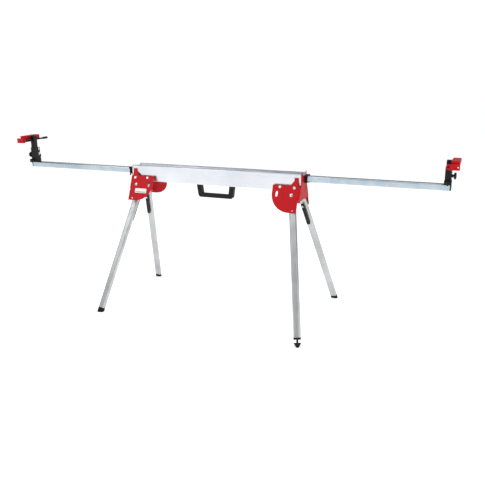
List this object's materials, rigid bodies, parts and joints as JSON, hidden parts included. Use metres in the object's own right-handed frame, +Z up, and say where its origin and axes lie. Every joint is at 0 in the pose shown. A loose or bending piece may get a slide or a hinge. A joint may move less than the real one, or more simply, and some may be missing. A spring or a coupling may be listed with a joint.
{
  "type": "folding mitre saw stand",
  "caption": "Folding mitre saw stand: aluminium beam on spring-locked folding legs, with sliding extension bars, height-adjustable work supports and a carry handle.",
  "frame": {"origin": "on the floor, under the middle of the beam", "axes": "+X along the beam to the right, +Y to the rear, +Z up"},
  "size_m": [2.558, 0.754, 0.957],
  "materials": {
    "beam_aluminium": "satin extruded, clear anodised",
    "leg_aluminium": "satin extruded",
    "bar_zinc": "bright zinc plated",
    "red_powder_coat": "satin powder coat",
    "black_powder_coat": "satin powder coat",
    "zinc_fasteners": "bright zinc plated",
    "black_nylon": "moulded, fine texture",
    "black_rubber": "matte"
  },
  "bodies": {
    "frame": {"beam": "beam_aluminium", "left_bracket": "red_powder_coat", "right_bracket": "red_powder_coat", "bracket_wedges": "black_nylon", "bracket_bolts": "zinc_fasteners", "leg_pivot_bolts": "zinc_fasteners", "leg_pivot_nuts": "zinc_fasteners", "leg_spacers": "zinc_fasteners", "left_bar_collar": "black_nylon", "right_bar_collar": "black_nylon", "carry_handle": "black_nylon", "handle_screws": "zinc_fasteners", "arm_lever_pins": "zinc_fasteners"},
    "front_left_leg": {"front_left_leg": "leg_aluminium", "front_left_leg_plug": "black_nylon", "front_left_foot": "black_rubber", "front_left_lever_mount": "zinc_fasteners"},
    "front_left_lock_lever": {"front_left_lock_lever": "black_nylon"},
    "front_left_lock_pin": {"front_left_lock_pin": "zinc_fasteners"},
    "rear_left_leg": {"rear_left_leg": "leg_aluminium", "rear_left_leg_plug": "black_nylon", "rear_left_foot": "black_rubber", "rear_left_lever_mount": "zinc_fasteners"},
    "rear_left_lock_lever": {"rear_left_lock_lever": "black_nylon"},
    "rear_left_lock_pin": {"rear_left_lock_pin": "zinc_fasteners"},
    "front_right_leg": {"front_right_leg": "leg_aluminium", "front_right_leg_plug": "black_nylon", "front_right_foot_plug": "black_rubber", "front_right_lever_mount": "zinc_fasteners"},
    "front_right_lock_lever": {"front_right_lock_lever": "black_nylon"},
    "front_right_lock_pin": {"front_right_lock_pin": "zinc_fasteners"},
    "rear_right_leg": {"rear_right_leg": "leg_aluminium", "rear_right_leg_plug": "black_nylon", "rear_right_foot": "black_rubber", "rear_right_lever_mount": "zinc_fasteners"},
    "rear_right_lock_lever": {"rear_right_lock_lever": "black_nylon"},
    "rear_right_lock_pin": {"rear_right_lock_pin": "zinc_fasteners"},
    "levelling_foot": {"levelling_foot": "black_rubber"},
    "left_arm": {"left_bar": "bar_zinc", "left_support_base": "black_powder_coat", "left_upright": "black_powder_coat"},
    "left_arm_lever": {"left_arm_lever": "black_nylon"},
    "left_clamp_knob": {"left_clamp_knob": "black_nylon"},
    "left_height_knob": {"left_height_knob": "black_nylon"},
    "left_head": {"left_post": "black_powder_coat", "left_support_head": "red_powder_coat"},
    "left_stop": {"left_stop_rod": "black_powder_coat", "left_work_stop": "red_powder_coat"},
    "right_arm": {"right_bar": "bar_zinc", "right_support_base": "black_powder_coat", "right_upright": "black_powder_coat"},
    "right_arm_lever": {"right_arm_lever": "black_nylon"},
    "right_clamp_knob": {"right_clamp_knob": "black_nylon"},
    "right_height_knob": {"right_height_knob": "black_nylon"},
    "right_head": {"right_post": "black_powder_coat", "right_support_head": "red_powder_coat"},
    "right_stop": {"right_stop_rod": "black_powder_coat", "right_work_stop": "red_powder_coat"}
  },
  "joints": [
    {"name": "front_left_leg_fold", "type": "hinge", "parent": "frame", "child": "front_left_leg", "pos_m": [-0.468, -0.03869, 0.69089], "axis": [0, -0.9205, 0.3907], "range_deg": [0, 96]},
    {"name": "front_left_lever_squeeze", "type": "hinge", "parent": "front_left_leg", "child": "front_left_lock_lever", "pos_m": [-0.48849, -0.06477, 0.57571], "axis": [-0.9848, 0.0678, 0.1598], "range_deg": [-6, 3], "stiffness_Nm_per_rad": 0.6},
    {"name": "front_left_pin_slide", "type": "slide", "parent": "front_left_leg", "child": "front_left_lock_pin", "axis": [0, 0.9205, -0.3907], "range_m": [-0.0038, 0.0019]},
    {"name": "rear_left_leg_fold", "type": "hinge", "parent": "frame", "child": "rear_left_leg", "pos_m": [-0.468, 0.03869, 0.69089], "axis": [0, -0.9205, -0.3907], "range_deg": [0, 96]},
    {"name": "rear_left_lever_squeeze", "type": "hinge", "parent": "rear_left_leg", "child": "rear_left_lock_lever", "pos_m": [-0.48849, 0.06477, 0.57571], "axis": [0.9848, 0.0678, -0.1598], "range_deg": [-6, 3], "stiffness_Nm_per_rad": 0.6},
    {"name": "rear_left_pin_slide", "type": "slide", "parent": "rear_left_leg", "child": "rear_left_lock_pin", "axis": [0, -0.9205, -0.3907], "range_m": [-0.0038, 0.0019]},
    {"name": "front_right_leg_fold", "type": "hinge", "parent": "frame", "child": "front_right_leg", "pos_m": [0.468, -0.06723, 0.703], "axis": [0, 0.9205, -0.3907], "range_deg": [0, 100]},
    {"name": "front_right_lever_squeeze", "type": "hinge", "parent": "front_right_leg", "child": "front_right_lock_lever", "pos_m": [0.48849, -0.0933, 0.58783], "axis": [-0.9848, -0.0678, -0.1598], "range_deg": [-6, 3], "stiffness_Nm_per_rad": 0.6},
    {"name": "front_right_pin_slide", "type": "slide", "parent": "front_right_leg", "child": "front_right_lock_pin", "axis": [0, 0.9205, -0.3907], "range_m": [-0.0038, 0.0019]},
    {"name": "rear_right_leg_fold", "type": "hinge", "parent": "frame", "child": "rear_right_leg", "pos_m": [0.468, 0.06723, 0.703], "axis": [0, 0.9205, 0.3907], "range_deg": [0, 100]},
    {"name": "rear_right_lever_squeeze", "type": "hinge", "parent": "rear_right_leg", "child": "rear_right_lock_lever", "pos_m": [0.48849, 0.0933, 0.58783], "axis": [0.9848, -0.0678, 0.1598], "range_deg": [-6, 3], "stiffness_Nm_per_rad": 0.6},
    {"name": "rear_right_pin_slide", "type": "slide", "parent": "rear_right_leg", "child": "rear_right_lock_pin", "axis": [0, -0.9205, -0.3907], "range_m": [-0.0038, 0.0019]},
    {"name": "levelling_screw", "type": "slide", "parent": "front_right_leg", "child": "levelling_foot", "axis": [0.1736, -0.3848, -0.9065], "range_m": [-0.012, 0.01]},
    {"name": "left_arm_slide", "type": "slide", "parent": "frame", "child": "left_arm", "axis": [1, 0, 0], "range_m": [0, 0.68]},
    {"name": "left_arm_lock", "type": "hinge", "parent": "frame", "child": "left_arm_lever", "pos_m": [-0.519, -0.0525, 0.797], "axis": [-1, 0, 0], "range_deg": [0, 75]},
    {"name": "left_clamp_turn", "type": "hinge", "parent": "left_arm", "child": "left_clamp_knob", "pos_m": [-1.225, -0.024, 0.807], "axis": [0, 1, 0], "continuous": true},
    {"name": "left_height_turn", "type": "hinge", "parent": "left_arm", "child": "left_height_knob", "pos_m": [-1.245, -0.031, 0.839], "axis": [-1, 0, 0], "continuous": true},
    {"name": "left_height_slide", "type": "slide", "parent": "left_arm", "child": "left_head", "axis": [0, 0, 1], "range_m": [-0.04, 0.01]},
    {"name": "left_stop_flip", "type": "hinge", "parent": "left_head", "child": "left_stop", "pos_m": [-1.227, -0.024, 0.932], "axis": [0, 1, 0], "range_deg": [0, 90]},
    {"name": "right_arm_slide", "type": "slide", "parent": "frame", "child": "right_arm", "axis": [-1, 0, 0], "range_m": [0, 0.68]},
    {"name": "right_arm_lock", "type": "hinge", "parent": "frame", "child": "right_arm_lever", "pos_m": [0.519, 0.0525, 0.797], "axis": [1, 0, 0], "range_deg": [0, 75]},
    {"name": "right_clamp_turn", "type": "hinge", "parent": "right_arm", "child": "right_clamp_knob", "pos_m": [1.225, 0.024, 0.807], "axis": [0, 1, 0], "continuous": true},
    {"name": "right_height_turn", "type": "hinge", "parent": "right_arm", "child": "right_height_knob", "pos_m": [1.245, 0.017, 0.839], "axis": [1, 0, 0], "continuous": true},
    {"name": "right_height_slide", "type": "slide", "parent": "right_arm", "child": "right_head", "axis": [0, 0, 1], "range_m": [0, 0.05]},
    {"name": "right_stop_flip", "type": "hinge", "parent": "right_head", "child": "right_stop", "pos_m": [1.227, 0.024, 0.892], "axis": [0, -1, 0], "range_deg": [0, 90]}
  ],
  "couplings": [
    {"joint": "front_left_pin_slide", "follows": "front_left_lever_squeeze", "m_per_rad": 0.036},
    {"joint": "rear_left_pin_slide", "follows": "rear_left_lever_squeeze", "m_per_rad": 0.036},
    {"joint": "front_right_pin_slide", "follows": "front_right_lever_squeeze", "m_per_rad": 0.036},
    {"joint": "rear_right_pin_slide", "follows": "rear_right_lever_squeeze", "m_per_rad": 0.036}
  ]
}
